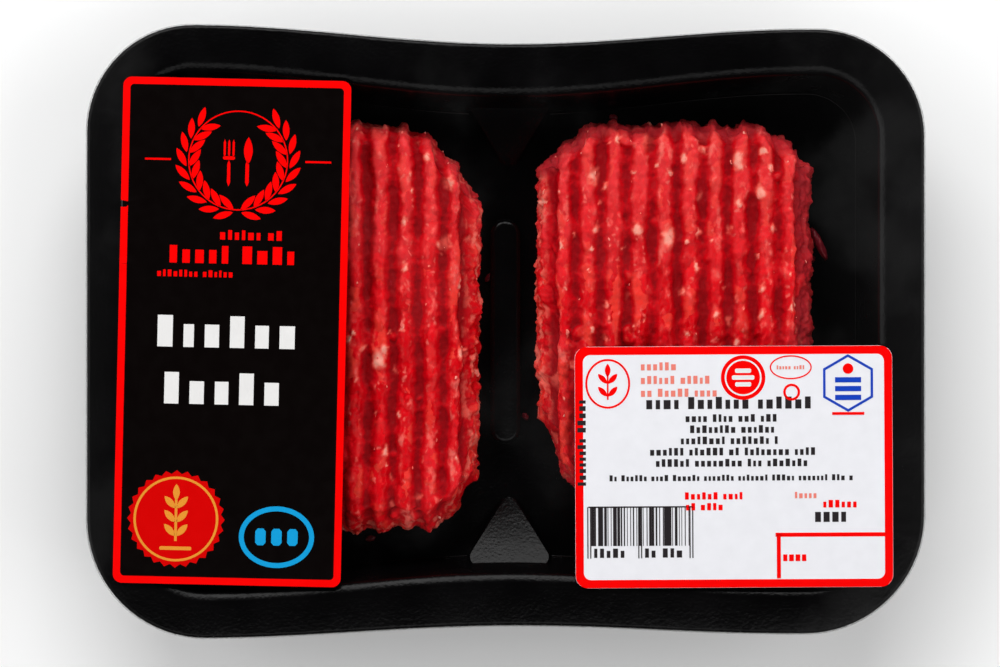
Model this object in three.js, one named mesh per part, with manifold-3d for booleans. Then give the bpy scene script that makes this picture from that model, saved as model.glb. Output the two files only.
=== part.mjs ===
// A supermarket tray pack of two fresh minced steaks, in millimetres, +Z up, standing on z = 0.
// A black foam tray with a broad rim holds the steaks side by side. Clear film is stretched over
// the rim, down to the base and in under it, and two printed labels are stuck on top of the film.

import * as THREE from "three";
import { ConvexGeometry } from "three/addons/geometries/ConvexGeometry.js";
import { mergeVertices } from "three/addons/utils/BufferGeometryUtils.js";
import Module from "manifold-3d";

const wasm = await Module();
wasm.setup();

// The pack from above. The pull of the film draws the two long sides in at their middle.
const PACK_LENGTH = 210;
const PACK_WIDTH = 152.8;
const FAR_RADIUS = 27;
const NEAR_RADIUS = 30;
const RIM_BOW = 3.4; // how far the rim is drawn in at the middle of a long side
const BASE_BOW = 2;
const SAG = 0.85; // the far side is drawn in by this much more, and the near side by less
const TAPER = 0.0105; // the -X end is broader by this share, and the +X end narrower

// Thicknesses and levels.
const CLEARANCE = 0.3; // between pieces that touch
const FILM = 0.4;
const LABEL = 0.3;
const TRAY_BASE = FILM + CLEARANCE;
const TRAY_HEIGHT = 29;
const FOAM = 4;
const FLOOR = TRAY_BASE + FOAM;
const RIM_TOP = TRAY_BASE + TRAY_HEIGHT;
const FILM_TOP = RIM_TOP + CLEARANCE + FILM;

// The tray's rim and walls, as distances in from the pack's outline.
const RIM_OUTSIDE = FILM + CLEARANCE;
const RIM_INSIDE = 12;
const INNER_BOW = 5.1; // the rim is a little broader at the middle of a long side
const WALL_LEAN = 2.2; // how far in the inner wall's foot is from its top

// Buttresses at the middle of the long walls, and the low rib between the two wells.
const BUTTRESS_MIDDLE = 1; // how far they lie towards the narrower end
const BUTTRESS_HALF_WIDTH = 10.6;
const BUTTRESS_RISE = 10;
const BUTTRESS_REACH = 42.9; // from the pack's middle line to the buttress's point
const BUTTRESS_FOOT = 59.6;
const RIB_LENGTH = 58;
const RIB_WIDTH = 8;
const RIB_HEIGHT = 4.5;

// The strip left open where the film's two edges meet under the base.
const SEAM_LENGTH = 150;
const SEAM_GAP = 2;

// Points along one quarter turn, one long side and one short side of an outline.
const CORNER_STEPS = 9;
const LONG_STEPS = 14;
const SHORT_STEPS = 6;

// Each steak: its middle, half sizes, the place of one strand, and the four corners that are cut
// off, as [across, along] in the order left back, right back, right front, left front. One ridged
// plate pressed them all, so the strands are spaced alike.
const STEAK_HEIGHT = 19;
const STRAND_PITCH = 6.41;
const STRAND_GROOVE = 2;
const PLAIN_EDGE = 4.5; // the grooves die out this far from the steak's edge
const STEAKS = [
  {
    name: "steak_left",
    middle: [-42, 1.2],
    half: [34.8, 51.5],
    first: 3.9,
    cuts: [[16, 13], [20, 18.5], [13, 15.5], [15, 14]],
    seed: 1,
  },
  {
    name: "steak_right",
    middle: [43.1, 1.2],
    half: [34.4, 51.8],
    first: -2.96,
    cuts: [[16, 12], [16, 11], [15, 14], [18, 32]],
    seed: 2,
  },
];

// The labels: middle, size, corner radius and turn in degrees.
const LABELS = [
  { name: "label_front", middle: [-68.3, -0.1], size: [57, 126.5], radius: 2.2, turn: -1.25 },
  { name: "label_weight", middle: [57, -33.8], size: [79.3, 60.3], radius: 3, turn: 0.3 },
];

const COLOURS = {
  foam: { color: 0x0b0b0d, roughness: 0.55, metalness: 0 },
  film: { color: 0xffffff, roughness: 0.08, metalness: 0, transparent: true, opacity: 0.12 },
  meat: { color: 0xa81018, roughness: 0.35, metalness: 0 },
  black_paper: { color: 0x0c0a0a, roughness: 0.3, metalness: 0 },
  white_paper: { color: 0xe9e9ee, roughness: 0.4, metalness: 0 },
};

const group = new THREE.Group();
group.name = "meat_tray_pack";

function addPiece(name, geometry, colour) {
  const mesh = new THREE.Mesh(geometry, new THREE.MeshStandardMaterial(COLOURS[colour]));
  mesh.name = name;
  group.add(mesh);
  return mesh;
}

// One ring round the pack, anticlockwise from above: the outline moved in by inset, at height z,
// with its long sides drawn in by bow and the whole a little broader at one end.
function ring({ inset, z, bow }) {
  const halfLength = PACK_LENGTH / 2 - inset;
  const halfWidth = PACK_WIDTH / 2 - inset;
  const radiusAt = (side) => Math.max((side > 0 ? FAR_RADIUS : NEAR_RADIUS) - inset, 6);
  const points = [];
  const quarter = (sideX, sideY, from) => {
    const radius = radiusAt(sideY);
    for (let i = 0; i < CORNER_STEPS; i++) {
      const angle = from + ((Math.PI / 2) * i) / CORNER_STEPS;
      points.push([
        sideX * (halfLength - radius) + radius * Math.cos(angle),
        sideY * (halfWidth - radius) + radius * Math.sin(angle),
      ]);
    }
  };
  const longSide = (side) => {
    const flatX = halfLength - radiusAt(side);
    for (let i = 0; i < LONG_STEPS; i++) {
      const x = side * flatX * (1 - (2 * i) / LONG_STEPS);
      const drawnIn = ((bow + side * SAG) * (1 + Math.cos((Math.PI * x) / flatX))) / 2;
      points.push([x, side * (halfWidth - drawnIn)]);
    }
  };
  const shortSide = (side) => {
    const from = -side * (halfWidth - radiusAt(-side));
    const to = side * (halfWidth - radiusAt(side));
    for (let i = 0; i < SHORT_STEPS; i++)
      points.push([side * halfLength, from + ((to - from) * i) / SHORT_STEPS]);
  };
  shortSide(1);
  quarter(1, 1, 0);
  longSide(1);
  quarter(-1, 1, Math.PI / 2);
  shortSide(-1);
  quarter(-1, -1, Math.PI);
  longSide(-1);
  quarter(1, -1, 1.5 * Math.PI);
  const broader = (x) => 1 - (TAPER * x) / (PACK_LENGTH / 2);
  return points.map(([x, y]) => new THREE.Vector3(x, y * broader(x), z));
}

// A closed skin through rings with equal numbers of points, capped at its first and last ring.
function loft(rings) {
  const count = rings[0].length;
  const faces = [];
  const at = (level, i) => level * count + (i % count);
  for (let level = 0; level + 1 < rings.length; level++)
    for (let i = 0; i < count; i++) {
      faces.push(at(level, i), at(level, i + 1), at(level + 1, i));
      faces.push(at(level, i + 1), at(level + 1, i + 1), at(level + 1, i));
    }
  const cap = (level, facesUp) => {
    const flat = rings[level].map((p) => new THREE.Vector2(p.x, p.y));
    for (const [a, b, c] of THREE.ShapeUtils.triangulateShape(flat, []))
      if (facesUp) faces.push(at(level, a), at(level, b), at(level, c));
      else faces.push(at(level, a), at(level, c), at(level, b));
  };
  cap(0, false);
  cap(rings.length - 1, true);
  return new THREE.BufferGeometry().setFromPoints(rings.flat()).setIndex(faces);
}

// A three.js geometry as a manifold solid, and back.
function solid(geometry) {
  const bare = geometry.clone();
  bare.deleteAttribute("normal");
  bare.deleteAttribute("uv");
  const merged = mergeVertices(bare, 1e-4);
  return new wasm.Manifold(
    new wasm.Mesh({
      numProp: 3,
      vertProperties: new Float32Array(merged.attributes.position.array),
      triVerts: new Uint32Array(merged.index.array),
    }),
  );
}

function geometryOf(manifold) {
  const mesh = manifold.getMesh();
  return new THREE.BufferGeometry()
    .setAttribute("position", new THREE.BufferAttribute(mesh.vertProperties, 3))
    .setIndex(new THREE.BufferAttribute(mesh.triVerts, 1));
}

// The tray: base, leaning wall, underside of the rim, its rounded edge, its top, and the well.
function trayShell() {
  const wallFoot = RIM_INSIDE + WALL_LEAN;
  const outerFoot = wallFoot - FOAM;
  return loft(
    [
      { inset: outerFoot + 2.5, z: TRAY_BASE, bow: BASE_BOW },
      { inset: outerFoot + 0.8, z: TRAY_BASE + 1.5, bow: BASE_BOW },
      { inset: RIM_INSIDE - FOAM + 0.8, z: RIM_TOP - FOAM, bow: RIM_BOW },
      { inset: RIM_OUTSIDE + 1.5, z: RIM_TOP - FOAM, bow: RIM_BOW },
      { inset: RIM_OUTSIDE + 0.2, z: RIM_TOP - FOAM + 1, bow: RIM_BOW },
      { inset: RIM_OUTSIDE, z: RIM_TOP - FOAM / 2, bow: RIM_BOW },
      { inset: RIM_OUTSIDE + 0.2, z: RIM_TOP - 1, bow: RIM_BOW },
      { inset: RIM_OUTSIDE + 1.4, z: RIM_TOP - 0.15, bow: RIM_BOW },
      { inset: RIM_OUTSIDE + 3, z: RIM_TOP, bow: RIM_BOW },
      { inset: RIM_INSIDE - 1.4, z: RIM_TOP, bow: INNER_BOW },
      { inset: RIM_INSIDE - 0.3, z: RIM_TOP - 0.4, bow: INNER_BOW },
      { inset: RIM_INSIDE + 0.4, z: RIM_TOP - 1.5, bow: INNER_BOW },
      { inset: wallFoot, z: FLOOR + 2, bow: INNER_BOW },
      { inset: wallFoot + 0.9, z: FLOOR + 0.6, bow: INNER_BOW },
      { inset: wallFoot + 2.6, z: FLOOR, bow: INNER_BOW },
    ].map(ring),
  );
}

// A sloping three-sided face that rises from the floor to the middle of a long wall.
function buttress(side) {
  const root = FLOOR - 1;
  const top = FLOOR + BUTTRESS_RISE;
  const tip = side * BUTTRESS_REACH;
  const foot = side * BUTTRESS_FOOT;
  const wall = foot + side;
  const middle = BUTTRESS_MIDDLE;
  const corners = [[middle, tip, FLOOR], [middle, tip, root]];
  for (const hand of [-1, 1]) {
    corners.push([middle + hand * BUTTRESS_HALF_WIDTH, foot, top]);
    corners.push([middle + hand * BUTTRESS_HALF_WIDTH, wall, top]);
    corners.push([middle + hand * (BUTTRESS_HALF_WIDTH + 1), wall, root]);
  }
  return new ConvexGeometry(corners.map((p) => new THREE.Vector3(...p)));
}

// The low round-ended rib along the middle of the floor, with leaning sides.
function rib() {
  const bevel = 1.5;
  const radius = RIB_WIDTH / 2 - bevel;
  const straight = RIB_LENGTH / 2 - RIB_WIDTH / 2;
  const plan = new THREE.Shape();
  plan.absarc(0, straight, radius, 0, Math.PI);
  plan.absarc(0, -straight, radius, Math.PI, 2 * Math.PI);
  const geometry = new THREE.ExtrudeGeometry(plan, {
    depth: RIB_HEIGHT - bevel,
    bevelThickness: bevel,
    bevelSize: bevel,
    bevelSegments: 3,
    curveSegments: 8,
  });
  return geometry.translate(0, 0, FLOOR);
}

function tray() {
  const parts = [buttress(1), buttress(-1), rib()];
  return geometryOf(parts.reduce((whole, g) => whole.add(solid(g)), solid(trayShell())));
}

// The film's outer skin, moved in by depth: under the base, up the taut skirt and over the rim.
function filmSkin(depth) {
  const wallFoot = RIM_INSIDE + WALL_LEAN - FOAM;
  return loft(
    [
      { inset: wallFoot + 2 + depth, z: depth, bow: BASE_BOW },
      { inset: wallFoot + 0.2 + depth, z: 1.1 + depth, bow: BASE_BOW },
      { inset: 0.3 + depth, z: RIM_TOP - FOAM + 0.2, bow: RIM_BOW },
      { inset: depth, z: RIM_TOP - FOAM + 1.4, bow: RIM_BOW },
      { inset: depth, z: FILM_TOP - 1.9, bow: RIM_BOW },
      { inset: 0.4 + depth, z: FILM_TOP - 0.6 - depth, bow: RIM_BOW },
      { inset: 1.7 + depth, z: FILM_TOP - 0.05 - depth, bow: RIM_BOW },
      { inset: 3.2 + depth, z: FILM_TOP - depth, bow: RIM_BOW },
    ].map(ring),
  );
}

function film() {
  const seam = new THREE.BoxGeometry(SEAM_LENGTH, SEAM_GAP, 4 * FILM);
  return geometryOf(solid(filmSkin(0)).subtract(solid(filmSkin(FILM))).subtract(solid(seam)));
}

// A steady, uneven wave between about -1 and 1, different for each seed.
function wobble(t, seed) {
  const phase = 12.9898 * seed;
  const slow = Math.sin(t + phase);
  const middle = Math.sin(2.3 * t + 2.1 * phase);
  const quick = Math.sin(4.9 * t + 3.7 * phase);
  return 0.5 * slow + 0.3 * middle + 0.2 * quick;
}

// How far a steak reaches along y at x, with its corners cut off and rounded.
function reach(x, end, { half, cuts, seed }) {
  const corner = end > 0 ? (x < 0 ? 0 : 1) : x < 0 ? 3 : 2;
  const [across, along] = cuts[corner];
  const share = THREE.MathUtils.clamp((Math.abs(x) - half[0] + across) / across, 0, 1);
  const cut = 1 - Math.pow(1 - Math.pow(share, 1.35), 1 / 1.35);
  return end * (half[1] - along * cut + 0.7 * wobble(x / 3, seed + end));
}

// A minced steak: side-by-side strands pressed flat, crests and grooves running along y, rough
// rounded sides and a flat underside.
function steak(shape) {
  const { half, first, seed } = shape;
  const across = Math.round((2 * half[0]) / STRAND_PITCH) * 6;
  const along = 17;
  const base = FLOOR + CLEARANCE;
  const rows = [];
  for (let j = 0; j <= along; j++) {
    const v = (1 - Math.cos((Math.PI * j) / along)) / 2;
    const row = [];
    for (let i = 0; i <= across; i++) {
      const x = half[0] * ((2 * i) / across - 1);
      const from = reach(x, -1, shape);
      const y = from + (reach(x, 1, shape) - from) * v;
      const rim = Math.min(half[0] - Math.abs(x), y - from, reach(x, 1, shape) - y);
      const shoulder = Math.pow(1 - Math.min(rim / 7, 1), 2);
      const turn = (x - first) / STRAND_PITCH;
      const wave = Math.cos(2 * Math.PI * turn);
      const groove = 1 - THREE.MathUtils.smoothstep(wave, -0.5, 0.4);
      const depth = STRAND_GROOVE * groove * Math.min(Math.max(rim - 1, 0) / PLAIN_EDGE, 1);
      const lumps = 0.5 + 0.5 * wobble(y / 4, seed + Math.round(turn));
      const z = base + STEAK_HEIGHT * (1 - 0.3 * shoulder) - depth - lumps;
      row.push(new THREE.Vector3(x + 0.45 * wobble(y / 9, seed + 5) * (1 - shoulder), y, z));
    }
    rows.push(row);
  }
  return closedSlab(rows, base, shape);
}

// Closes a grid of top points with a bulging side and a flat underside.
function closedSlab(rows, base, { middle, seed }) {
  const across = rows[0].length - 1;
  const along = rows.length - 1;
  const points = rows.flat();
  const faces = [];
  const at = (j, i) => j * (across + 1) + i;
  for (let j = 0; j < along; j++)
    for (let i = 0; i < across; i++) {
      faces.push(at(j, i), at(j, i + 1), at(j + 1, i + 1));
      faces.push(at(j, i), at(j + 1, i + 1), at(j + 1, i));
    }
  const loop = [];
  for (let i = 0; i < across; i++) loop.push(at(0, i));
  for (let j = 0; j < along; j++) loop.push(at(j, across));
  for (let i = across; i > 0; i--) loop.push(at(along, i));
  for (let j = along; j > 0; j--) loop.push(at(j, 0));
  const out = loop.map((_, k) => {
    const before = points[loop[(k + loop.length - 1) % loop.length]];
    const after = points[loop[(k + 1) % loop.length]];
    return new THREE.Vector2(after.y - before.y, before.x - after.x).normalize();
  });
  const levels = [{ height: 0.5, bulge: 0.7 }, { height: 0, bulge: -0.8 }];
  let upper = loop;
  for (const { height, bulge } of levels) {
    const lower = loop.map((edge, k) => {
      const p = points[edge];
      const grow = bulge + (height > 0 ? 0.5 * wobble(0.6 * k, seed) : 0);
      const z = base + (p.z - base) * height;
      return points.push(new THREE.Vector3(p.x + grow * out[k].x, p.y + grow * out[k].y, z)) - 1;
    });
    loop.forEach((_, k) => {
      const next = (k + 1) % loop.length;
      faces.push(upper[k], lower[k], upper[next]);
      faces.push(upper[next], lower[k], lower[next]);
    });
    upper = lower;
  }
  const foot = upper.map((k) => new THREE.Vector2(points[k].x, points[k].y));
  for (const [a, b, c] of THREE.ShapeUtils.triangulateShape(foot, []))
    faces.push(upper[a], upper[c], upper[b]);
  const geometry = new THREE.BufferGeometry().setFromPoints(points).setIndex(faces);
  return geometry.translate(middle[0], middle[1], 0);
}

// A thin label with rounded corners.
function label({ size, radius }) {
  const [x, y] = [size[0] / 2 - radius, size[1] / 2 - radius];
  const plan = new THREE.Shape();
  plan.absarc(x, -y, radius, -Math.PI / 2, 0);
  plan.absarc(x, y, radius, 0, Math.PI / 2);
  plan.absarc(-x, y, radius, Math.PI / 2, Math.PI);
  plan.absarc(-x, -y, radius, Math.PI, 1.5 * Math.PI);
  return new THREE.ExtrudeGeometry(plan, { depth: LABEL, bevelEnabled: false, curveSegments: 8 });
}

addPiece("tray", tray(), "foam");
for (const shape of STEAKS) addPiece(shape.name, steak(shape), "meat");
addPiece("film", film(), "film");
for (const paper of LABELS) {
  const mesh = addPiece(
    paper.name,
    label(paper),
    paper.name === "label_front" ? "black_paper" : "white_paper",
  );
  mesh.position.set(...paper.middle, FILM_TOP + CLEARANCE);
  mesh.rotation.z = THREE.MathUtils.degToRad(paper.turn);
}

export default group;
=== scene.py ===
# %% [markdown]
# # A tray pack of fresh minced steaks
# Two ridged steaks lie in a black foam tray. Clear film is stretched over the rim and tucked in
# under the base, and two printed labels are stuck on the film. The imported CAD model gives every
# piece its place, and this script dresses each one. Lengths are typed in millimetres, as in the
# CAD source, and turned into metres where a mesh is made.

import math

import bmesh
import bpy
import numpy as np
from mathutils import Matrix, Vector


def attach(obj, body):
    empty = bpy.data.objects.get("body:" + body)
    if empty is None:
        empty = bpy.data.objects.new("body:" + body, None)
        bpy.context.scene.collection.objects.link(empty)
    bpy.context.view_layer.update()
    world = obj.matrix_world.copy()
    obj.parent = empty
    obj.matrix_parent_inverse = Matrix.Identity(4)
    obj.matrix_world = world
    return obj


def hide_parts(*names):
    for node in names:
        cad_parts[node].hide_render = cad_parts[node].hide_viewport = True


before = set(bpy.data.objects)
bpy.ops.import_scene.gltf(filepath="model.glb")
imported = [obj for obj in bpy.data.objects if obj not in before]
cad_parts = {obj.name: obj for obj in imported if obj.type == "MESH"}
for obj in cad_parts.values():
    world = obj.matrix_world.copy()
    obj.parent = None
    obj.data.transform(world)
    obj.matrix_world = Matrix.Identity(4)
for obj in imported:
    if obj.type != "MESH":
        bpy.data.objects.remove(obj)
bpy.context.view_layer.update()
MM = 0.001
BODY = "root"

# %% [markdown]
# ## The camera and the studio
# The photo looks straight down from about 0.7 m. A long lens keeps the tray's walls almost
# hidden, as they are there. Clear film mirrors whatever hangs right above it, so the lamps stand
# well away from the zenith and the sky up there is dark. Most light falls from beyond the pack's
# far long side, where the low sky is brightest too. That is what catches the near buttress and
# the near inner edge of the rim. Weaker lamps on the other sides soften the shadows.

# %% Camera above the pack
RIM_HEIGHT = 29.7
CAMERA_ABOVE_RIM = 700
FRAME_WIDTH = 250  # what the picture spans at the rim
SENSOR = 36
LOOK_AT = (-1.4, -0.5)

lens = bpy.data.cameras.new("camera")
lens.sensor_width = SENSOR
lens.lens = SENSOR * CAMERA_ABOVE_RIM / FRAME_WIDTH
camera = bpy.data.objects.new("camera", lens)
camera.location = (LOOK_AT[0] * MM, LOOK_AT[1] * MM, (RIM_HEIGHT + CAMERA_ABOVE_RIM) * MM)
bpy.context.scene.collection.objects.link(camera)
bpy.context.scene.camera = camera
print("lens", round(lens.lens, 1), "mm")


# %% Nodes made in one call each
def plug(made, inputs):
    """Fills a node's inputs, each with a number, a colour or another node's socket."""
    for key, value in inputs.items():
        if isinstance(value, bpy.types.NodeSocket):
            made.id_data.links.new(value, made.inputs[key])
        else:
            made.inputs[key].default_value = value


def node(tree, kind, inputs=None, output=0, **settings):
    """One output of a new node whose settings are made and inputs filled, or all for None."""
    made = tree.nodes.new(kind)
    for key, value in settings.items():
        setattr(made, key, value)
    plug(made, inputs or {})
    return made.outputs if output is None else made.outputs[output]


def home(*values):
    """The tree that the first socket among the values is in."""
    return next(v.id_data for v in values if isinstance(v, bpy.types.NodeSocket))


def sums(operation, *values, clamp=False):
    """One step of arithmetic, as a socket."""
    inputs = dict(enumerate(values))
    return node(home(*values), "ShaderNodeMath", inputs, operation=operation, use_clamp=clamp)


def plus(first, second):
    """Two numbers added."""
    return sums("ADD", first, second)


def minus(first, second):
    """The second number taken from the first."""
    return sums("SUBTRACT", first, second)


def times(first, second):
    """Two numbers multiplied."""
    return sums("MULTIPLY", first, second)


def between(value, low, high, to_low=0.0, to_high=1.0):
    """A smooth step: to_low up to low, to_high from high on."""
    inputs = dict(enumerate((value, low, high, to_low, to_high)))
    return node(home(value), "ShaderNodeMapRange", inputs, interpolation_type="SMOOTHSTEP")


def noise(place, size, detail=2.0, roughness=0.5, seed=0.0):
    """Soft clouds about size across, from 0 to 1, in the units of place."""
    inputs = {"Vector": place, "W": seed, "Scale": 1 / size, "Detail": detail}
    inputs["Roughness"] = roughness
    return node(home(place), "ShaderNodeTexNoise", inputs, noise_dimensions="4D")


def about_zero(place, size, height, **settings):
    """Noise between minus and plus half of height."""
    return times(minus(noise(place, size, **settings), 0.5), height)


def blend(share, first, second):
    """Two colours mixed. Each is a socket or red, green and blue."""
    inputs = {0: share, 6: first, 7: second}
    inputs = {key: (*v, 1) if isinstance(v, tuple) else v for key, v in inputs.items()}
    return node(home(share), "ShaderNodeMix", inputs, output=2, data_type="RGBA")


def grey(value):
    """A grey of the given brightness."""
    return node(home(value), "ShaderNodeCombineColor", {0: value, 1: value, 2: value})


def vectors(operation, first, second):
    """One step of arithmetic on vectors, as a socket. SCALE takes a number as its second."""
    inputs = {0: first, "Scale" if operation == "SCALE" else 1: second}
    return node(home(first), "ShaderNodeVectorMath", inputs, operation=operation)


def stretched(place, scale):
    """A vector with each axis scaled."""
    return vectors("MULTIPLY", place, scale)


def triple(x, y, z):
    """Three numbers as a vector."""
    return node(home(x, y, z), "ShaderNodeCombineXYZ", {0: x, 1: y, 2: z})


def axes(vector):
    """The three numbers of a vector or a colour."""
    return node(home(vector), "ShaderNodeSeparateXYZ", {0: vector}, output=None)


# %% A material to fill in
def finish(name):
    """A new material, its Principled shader and the object's coordinates in mm."""
    material = bpy.data.materials.new(name)
    material.use_nodes = True
    tree = material.node_tree
    place = node(tree, "ShaderNodeTexCoord", output="Object")
    return material, tree.nodes["Principled BSDF"], vectors("SCALE", place, 1000)


def relief(shader, height, depth_mm):
    """Bumps the shader's surface by a height from 0 to 1."""
    inputs = {"Height": height, "Distance": depth_mm * MM, "Strength": 1.0}
    plug(shader, {"Normal": node(home(height), "ShaderNodeBump", inputs)})


# %% Meshes and pieces
def turned(x, y, angle, middle=(0, 0)):
    """A place turned about the origin and then moved to middle."""
    cos, sin = math.cos(angle), math.sin(angle)
    return middle[0] + x * cos - y * sin, middle[1] + x * sin + y * cos


def mesh_object(name, points, faces, material, smooth=True):
    """An object at the origin from points in mm."""
    mesh = bpy.data.meshes.new(name)
    mesh.from_pydata([Vector(p) * MM for p in points], [], faces)
    mesh.shade_smooth() if smooth else mesh.shade_flat()
    mesh.materials.append(material)
    made = bpy.data.objects.new(name, mesh)
    bpy.context.scene.collection.objects.link(made)
    return made


def grid_faces(rows, columns):
    """Quads between the points of a grid that is listed row by row."""
    low = [i * (columns + 1) + j for i in range(rows) for j in range(columns)]
    return [(k, k + 1, k + columns + 2, k + columns + 1) for k in low]


def gathered(patches):
    """Several patches, each as points and faces, as one."""
    points, faces = [], []
    for more, quads in patches:
        faces += [[len(points) + i for i in quad] for quad in quads]
        points += more
    return points, faces


def settle(made):
    """Swaps an object's modifiers for the plain mesh that they give."""
    graph = bpy.context.evaluated_depsgraph_get()
    mesh = bpy.data.meshes.new_from_object(made.evaluated_get(graph), depsgraph=graph)
    made.modifiers.clear()
    made.data = mesh
    return made


def thicken(made, thickness_mm):
    """Gives an open sheet its thickness, below where it lies."""
    made.modifiers.new("thickness", "SOLIDIFY").thickness = thickness_mm * MM
    return settle(made)


def belongs(made, slot, *nodes):
    """Says what the piece rides on and which CAD nodes it stands for. slot is not used."""
    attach(made, BODY)
    if nodes:
        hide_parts(*nodes)
    triangles = sum(len(p.vertices) - 2 for p in made.data.polygons)
    print(f"{made.name}: {triangles} triangles")
    return made


# %% Floor
paint, shader, place = finish("studio_floor")
cloud = between(noise(place, 400), 0.3, 0.7, 0.93, 0.96)
plug(shader, {"Base Color": grey(cloud), "Roughness": 0.9})
HALF = 3000
BELOW_PACK = -0.05
sheet = [(x * HALF, y * HALF, BELOW_PACK) for x, y in ((-1, -1), (1, -1), (1, 1), (-1, 1))]
mesh_object("floor", sheet, [(0, 1, 2, 3)], paint, smooth=False)


# %% Lamps and sky
def soft_lamp(name, place, watts, wide, tall):
    """A soft box that faces the pack. place, wide and tall are in metres."""
    lamp = bpy.data.lights.new(name, "AREA")
    lamp.shape = "RECTANGLE"
    lamp.energy = watts
    lamp.size = wide
    lamp.size_y = tall
    made = bpy.data.objects.new(name, lamp)
    made.location = place
    made.rotation_euler = (-Vector(place)).to_track_quat("-Z", "Y").to_euler()
    bpy.context.scene.collection.objects.link(made)


soft_lamp("lamp_far_side", (-0.1, 0.80, 0.70), 9.5, 1.0, 0.5)
soft_lamp("lamp_near_side", (0.1, -0.65, 1.12), 4.5, 1.8, 0.45)
soft_lamp("lamp_left", (-1.10, 0.1, 0.90), 7.7, 1.4, 0.9)
soft_lamp("lamp_right", (1.10, -0.1, 0.86), 7.7, 1.4, 0.9)

world = bpy.data.worlds.new("studio")
world.use_nodes = True
bpy.context.scene.world = world
direction = node(world.node_tree, "ShaderNodeTexCoord", output="Generated")
_, along, above = axes(direction)
low_sky = grey(between(along, -0.2, 0.7, 0.2, 0.9))
sky = blend(between(above, 0.2, 0.55), low_sky, (0.01, 0.01, 0.01))
plug(world.node_tree.nodes["Background"], {"Color": sky, "Strength": 0.6})
bpy.context.scene.view_settings.view_transform = "Standard"

# %% [markdown]
# ## The outline that tray and film share
# Seen from above, the pack is a rounded rectangle whose long sides are drawn in at the middle.
# One function gives that outline, moved in by any distance. A profile is a list of such
# outlines at rising heights, so one loft makes every bowl-like form here.

# %% Outline and loft
PACK_LENGTH = 210
PACK_WIDTH = 152.8
FAR_RADIUS = 27
NEAR_RADIUS = 30
RIM_BOW = 3.4
INNER_BOW = 5.1
BASE_BOW = 2
SAG = 0.85  # the far side is drawn in by this much more, and the near side by less
TAPER = 0.0105  # how much broader the left end is


def outline(inset, bow, corner_steps, long_steps, short_steps):
    """The pack's outline moved in, anticlockwise from above, as an array of x, y."""
    half_length = PACK_LENGTH / 2 - inset
    half_width = PACK_WIDTH / 2 - inset
    radius = {1: max(FAR_RADIUS - inset, 6), -1: max(NEAR_RADIUS - inset, 6)}

    def quarter(side_x, side_y, start):
        r = radius[side_y]
        angle = start + np.arange(corner_steps) / corner_steps * math.pi / 2
        x = side_x * (half_length - r) + r * np.cos(angle)
        return np.stack([x, side_y * (half_width - r) + r * np.sin(angle)], 1)

    def long_side(side):
        flat_x = half_length - radius[side]
        x = side * flat_x * (1 - 2 * np.arange(long_steps) / long_steps)
        drawn_in = (bow + side * SAG) * (1 + np.cos(math.pi * x / flat_x)) / 2
        return np.stack([x, side * (half_width - drawn_in)], 1)

    def short_side(side):
        start, end = -side * (half_width - radius[-side]), side * (half_width - radius[side])
        y = start + (end - start) * np.arange(short_steps) / short_steps
        return np.stack([np.full_like(y, side * half_length), y], 1)

    loop = np.concatenate([
        short_side(1), quarter(1, 1, 0), long_side(1), quarter(-1, 1, math.pi / 2),
        short_side(-1), quarter(-1, -1, math.pi), long_side(-1), quarter(1, -1, 1.5 * math.pi),
    ])
    loop[:, 1] *= 1 - TAPER * loop[:, 0] / (PACK_LENGTH / 2)
    return loop


def level(inset, z, bow, steps):
    """The outline at one height, as an array of x, y, z."""
    flat = outline(inset, bow, *steps)
    return np.column_stack([flat, np.full(len(flat), float(z))])


def closed_loft(name, rings, material):
    """An object whose skin joins rings of points, with both ends closed. Its faces look outward
    when the rings rise."""
    count = len(rings[0])
    ring = np.arange(count)
    after = (ring + 1) % count
    faces = []
    for low in range(0, (len(rings) - 1) * count, count):
        high = low + count
        faces += np.stack([low + ring, low + after, high + after, high + ring], 1).tolist()
    faces += [ring[::-1].tolist(), (ring + (len(rings) - 1) * count).tolist()]
    return mesh_object(name, np.concatenate(rings), faces, material)


def rounded(profile, reaches, steps=4):
    """A profile of (inset, z, bow) with each inner corner turned into an arc of its own reach."""
    points = [np.array(p, float) for p in profile]
    smooth = [points[0]]
    for before, corner, after, reach in zip(points, points[1:], points[2:], reaches):
        start = corner + (before - corner) * min(0.45, reach / np.linalg.norm(before - corner))
        end = corner + (after - corner) * min(0.45, reach / np.linalg.norm(after - corner))
        for step in range(steps + 1):
            t = step / steps
            smooth.append((1 - t) ** 2 * start + 2 * t * (1 - t) * corner + t * t * end)
    return smooth + [points[-1]]


# %% [markdown]
# ## The foam tray
# Such a tray is pressed from a sheet of black foam, so its walls are all about 4 mm thick and
# every edge is soft. A loft through outlines follows that well: it goes up the outer wall, round
# the rim, over the soft slope at its inner edge and down into the well. The two buttresses and
# the rib are joined on with booleans, which leaves one closed skin.

# %% Tray sizes
TRAY_BASE = 0.7
FOAM = 4
FLOOR = TRAY_BASE + FOAM
RIM_OUTSIDE = 0.22  # the film is so thin that the rim reaches almost to the pack's outline
RIM_INSIDE = 12
WALL_LEAN = 2.2
SLOPE_WIDTH = 2.1  # the soft slope from the rim to the wall
SLOPE_DROP = 0.95
SLOPE_FOOT = RIM_INSIDE - 0.3
BUTTRESS_MIDDLE = 1
BUTTRESS_HALF_WIDTH = 10.6
BUTTRESS_RISE = 10
BUTTRESS_REACH = 42.9
BUTTRESS_FOOT = 59.6
BUTTRESS_ROUND = 2
RIB_LENGTH = 58
RIB_WIDTH = 8
RIB_HEIGHT = 4.5
TRAY_STEPS = (18, 40, 20)

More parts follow.
